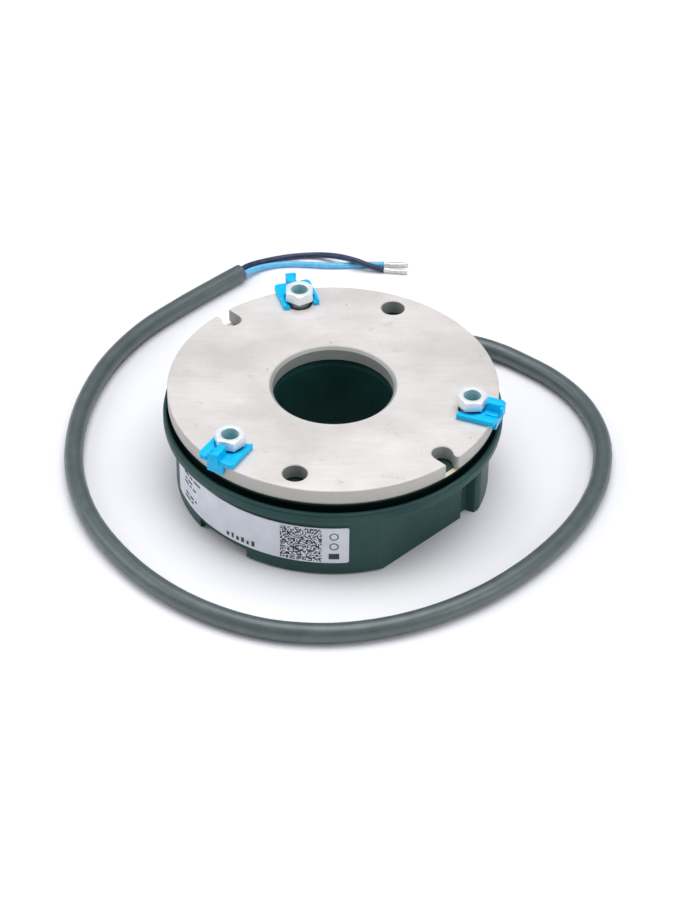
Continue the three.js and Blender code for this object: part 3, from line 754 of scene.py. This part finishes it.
# ---- Spacer bolts ----
def bolt_rows(count):
    """Rows of (radius, height) round the bolt, from its foot up the outside and back down the bore."""
    crown = BOLT_FLAT - 0.08
    fall = math.tan(math.radians(30))
    sides = []
    for k in range(count):
        within = (TAU * k / count + math.pi / 6) % (math.pi / 3) - math.pi / 6
        sides.append(BOLT_FLAT / math.cos(within))

    def chamfered(radius):
        return (radius, BOLT_HEAD_HIGH - max(0.0, radius - crown) * fall)

    return [
        [(BOLT_SHANK, BOLT_FOOT)] * count,
        [(BOLT_SHANK, BOLT_HEAD_LOW)] * count,
        [(crown, BOLT_HEAD_LOW)] * count,
        [(r, BOLT_HEAD_LOW) for r in sides],
        [chamfered(r) for r in sides],
        [chamfered(crown + (r - crown) * 0.5) for r in sides],
        [(crown, BOLT_HEAD_HIGH)] * count,
        [(BOLT_BORE + BOLT_BORE_EDGE, BOLT_HEAD_HIGH)] * count,
        [(BOLT_BORE, BOLT_HEAD_HIGH - BOLT_BORE_EDGE)] * count,
        [(BOLT_BORE, BOLT_FOOT)] * count,
    ]


def make_bolt(side, station, materials):
    """A hollow bolt whose hexagonal head has a turned chamfer."""
    count = 96
    turn = math.radians(station["hex_turn"] + 30)
    points, faces = [], []
    rows = bolt_rows(count)
    for index, row in enumerate(rows):
        start, above = index * count, (index + 1) % len(rows) * count
        for k, (radius, height) in enumerate(row):
            angle, after = TAU * k / count + turn, (k + 1) % count
            points.append((radius * math.cos(angle), radius * math.sin(angle), height))
            faces.append((start + k, start + after, above + after, above + k))
    bolt = mesh_object(f"bolt_{side}", points, faces, 25)
    soften(bolt, 0.07, 28)
    finish_piece(bolt, materials["zinc"], "stator", "zinc", f"spacer_bolt_{side}")
    bolt.data.materials.append(materials["bolt_bore"])
    bolt.data.materials.append(materials["bolt_shank"])
    for face in bolt.data.polygons:
        # The shank under the head takes the darker material with painted shade.
        reach, height = face.center.xy.length / MM, face.center.z / MM
        on_shank = reach < BOLT_SHANK + 0.2 and height < BOLT_HEAD_LOW - 0.1
        face.material_index = 1 if reach < BOLT_BORE + 0.05 else 2 if on_shank else 0
    place(bolt, BOLT_CIRCLE, station["angle"])


# ---- Transport clips ----
def open_slot(half, shift, low, high):
    """A cutter for a slot open towards the axis, with a round inner end."""
    turns = [math.radians(9 * i - 90) for i in range(21)]
    arc = [Vector((half * math.cos(turn), shift + half * math.sin(turn))) for turn in turns]
    return slab("cutter", [Vector((-6, shift - half)), *arc, Vector((-6, shift + half))], low, high)


def upright(name, profile, edge, other_edge):
    """A flat profile of (along, height) points, thick across the pull direction between two edges."""
    made = slab(name, profile, -other_edge, -edge)
    made.data.transform(Matrix.Rotation(math.pi / 2, 4, "X"))
    return made


def make_clip(side, station, material):
    """A stepped fork that closes round the bolt, with a wall, a cap and a hook over the plate's rim."""
    low, step, top, shift = CLIP_LOW, CLIP_STEP, CLIP_TOP, station["clip_shift"]
    tip, outer, half = CLIP_TIP, CLIP_OUTER, CLIP_HALF
    corners = [(tip, -half, 0.3), (outer, -half, 1.0), (outer, half, 1.0), (tip, half, 0.3)]
    clip = slab(f"clip_{side}", rounded([(x, y + shift, r) for x, y, r in corners]), low, top)
    slit_near, slit_far = shift - 2.05, shift - 2.5
    slit = [(CAP_INNER + 0.1, slit_far), (9, slit_far), (9, slit_near), (CAP_INNER + 0.1, slit_near)]
    cutters = [
        open_slot(BOLT_CLEARANCE, 0, low - 1, top + 1),
        open_slot(CLIP_RAIL, shift, step, top + 1),
        slab("cutter", slit, low - 1, top + 1),
    ]
    combine(clip, cutters, "DIFFERENCE")
    web_high = CAP_LOW + 0.4
    web = [(CAP_INNER, 29.2), (8.5, 29.2), (8.5, web_high), (CAP_INNER, web_high)]
    cap = [(CAP_INNER, CAP_LOW, 0), (CAP_OUTER, CAP_LOW, 0.1), (CAP_OUTER, CAP_HIGH, 0.7)]
    cap = rounded([*cap, (CAP_INNER, CAP_HIGH, 0.15)])
    wall = [(6, 29.2), (outer, low), (8.5, top), (8.5, web_high), (7.8, web_high), (7.8, top)]
    hook = [(6, HOOK_LOW), (outer - 0.05, HOOK_LOW), (outer - 0.05, step), (6, step)]
    parts = [
        upright("part", web, -0.42, 1.33),
        upright("part", cap, -0.5, 1.4),
        upright("part", wall, -1.35, 1.35),
        upright("part", hook, -2.3, 2.3),
    ]
    for part in parts:
        part.data.transform(Matrix.Translation((0, shift * MM, 0)))
    combine(clip, parts, "UNION")
    place(clip, BOLT_CIRCLE, station["angle"], station["clip_angle"])
    combine(clip, [slab("cutter", circle(PLATE_RADIUS + 0.3, 256), 20, low)], "DIFFERENCE")
    soften(clip, 0.14, 40)
    finish_piece(clip, material, f"clip_{side}", "blue_plastic", f"transport_clip_{side}")


# ---- Label ----
def on_body(degrees, height, radius):
    at = polar(radius, degrees)
    return (at.x, at.y, height)


def make_label(foil, print_ink):
    inner, outer, start, end = LABEL_INNER, LABEL_OUTER, LABEL_START, LABEL_END
    columns = 96
    points, faces = [], []
    for step in range(columns + 1):
        angle = start + (end - start) * step / columns
        from_end = min(angle - start, end - angle) * math.pi / 180 * outer
        short = LABEL_CORNER - min(from_end, LABEL_CORNER)
        inset = LABEL_CORNER - math.sqrt(max(0.0, LABEL_CORNER**2 - short**2))
        low, high = LABEL_LOW + inset, LABEL_HIGH - inset
        for radius, height in (
            (inner, low), (outer - 0.04, low), (outer, low + 0.05),
            (outer, high - 0.05), (outer - 0.04, high), (inner, high),
        ):
            points.append(on_body(angle, height, radius))
    for step in range(columns):
        for k in range(6):
            a, b = step * 6 + k, step * 6 + (k + 1) % 6
            faces.append((a, b, b + 6, a + 6))
    faces += [tuple(range(6)), tuple(columns * 6 + k for k in range(6))]
    label = mesh_object("label", points, faces, 30)
    finish_piece(label, foil, "stator", "label_foil", "rating_label")
    finish_piece(label_marks(outer + 0.012), print_ink, "stator", "label_foil")


def label_marks(radius):
    """Plain print: a field of small squares, bars in rows, two rings and a block."""
    points, faces = [], []
    degrees_per_mm = 180 / math.pi / radius

    def patch(degrees, width, low, high):
        parts = math.ceil(width / 0.4)
        start = len(points)
        for k in range(parts + 1):
            angle = degrees + (k / parts - 0.5) * width * degrees_per_mm
            points.extend([on_body(angle, low, radius), on_body(angle, high, radius)])
        for a in range(start, start + 2 * parts, 2):
            faces.append((a, a + 2, a + 3, a + 1))

    def ring(degrees, height, outer, inner):
        start, count = len(points), 28
        for k in range(count):
            turn = TAU * k / count
            for r in (inner, outer):
                angle = degrees + r * math.cos(turn) * degrees_per_mm
                points.append(on_body(angle, height + r * math.sin(turn), radius))
        for k in range(count):
            a, b = start + 2 * k, start + 2 * ((k + 1) % count)
            faces.append((a, a + 1, b + 1, b))

    pick = random.Random(7)
    for row in range(CODE_CELLS):
        for column in range(CODE_CELLS):
            if pick.random() < 0.5:
                low = CODE_LOW + row * CODE_CELL
                angle = CODE_ANGLE + (column - CODE_CELLS / 2) * CODE_CELL * degrees_per_mm
                patch(angle, CODE_CELL, low, low + CODE_CELL)
    for line, (height, widths) in enumerate(BAR_ROWS):
        angle = -155.5 + 0.6 * (line % 2)
        for width in widths:
            patch(angle + width / 2 * degrees_per_mm, width, height, height + 0.7)
            angle += (width + 0.6) * degrees_per_mm
    for k, width in enumerate((0.9, 0.7, 0.9, 0.9, 0.7, 0.9)):
        patch(-129.3 + k * 2.15, width, 5.2, 6.8 if k % 2 else 6.4)
    for height in (12.9, 9.7):
        ring(RINGS_ANGLE, height, 1.15, 0.85)
    patch(RINGS_ANGLE, 2.6, 5.6, 7.4)
    return mesh_object("label_print", points, faces, 30)


# ---- Lead exit ----
def make_grommet(material):
    """A small bush round the lead where it leaves the housing."""
    outline = rounded(
        [
            (2.5, 33, 0), (3.5, 33, 0), (3.5, 41, 0), (4.4, 41, 0.2), (4.4, 42.2, 0.4), (3.9, 42.3, 0.2),
            (3.0, 43.4, 0.3), (2.5, 43.4, 0.1),
        ]
    )
    grommet = along_lead(lathe("grommet", outline, 48))
    finish_piece(grommet, material, "stator", "rubber", "cable_grommet")


def paint_cad(node, material):
    """Gives a CAD node that stays as it is its material."""
    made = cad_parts[node]
    made.data.materials.clear()
    made.data.materials.append(material)


def make_floor(material):
    reach = 4000
    points = [(-reach, -reach, 0), (reach, -reach, 0), (reach, reach, 0), (-reach, reach, 0)]
    floor = mesh_object("floor", points, [(0, 1, 2, 3)])
    floor.data.materials.append(material)


MATERIALS = {
    "steel": ground_steel(),
    "paint": green_paint(),
    "painted_shade_paint": painted_shade_paint(),
    "zinc": zinc(),
    "bolt_bore": bolt_bore(),
    "bolt_shank": bolt_shank(),
    "blue_plastic": blue_plastic(),
    "foil": label_foil(),
    "ink": ink(),
    "sheath": sheath_pvc(),
    "blue_insulation": insulation("blue_insulation", color(84, 178, 228), color(116, 204, 240)),
    "dark_insulation": insulation("dark_insulation", color(32, 44, 72), color(52, 66, 98)),
    "rubber": rubber(),
    "tin": tin(),
}

make_camera()
make_cords(MATERIALS)
make_surroundings()
make_plate(MATERIALS["steel"])
make_housing(MATERIALS["paint"], MATERIALS["painted_shade_paint"])
for side, station in STATIONS.items():
    make_bolt(side, station, MATERIALS)
    make_clip(side, station, MATERIALS["blue_plastic"])
make_label(MATERIALS["foil"], MATERIALS["ink"])
make_grommet(MATERIALS["rubber"])
paint_cad("coil_bobbin", moulded("bobbin_plastic", color(30, 31, 32), color(44, 45, 47)))
paint_cad("coil_winding", copper_turns())
paint_cad("potting_ring", moulded("resin", color(12, 20, 20), color(22, 32, 31)))
for index in range(SPRING_COUNT):
    paint_cad(f"pressure_spring_{index + 1}", spring_wire())
paint_cad("inner_core_blue", MATERIALS["blue_insulation"])
paint_cad("inner_core_dark", MATERIALS["dark_insulation"])
make_floor(paper_floor())
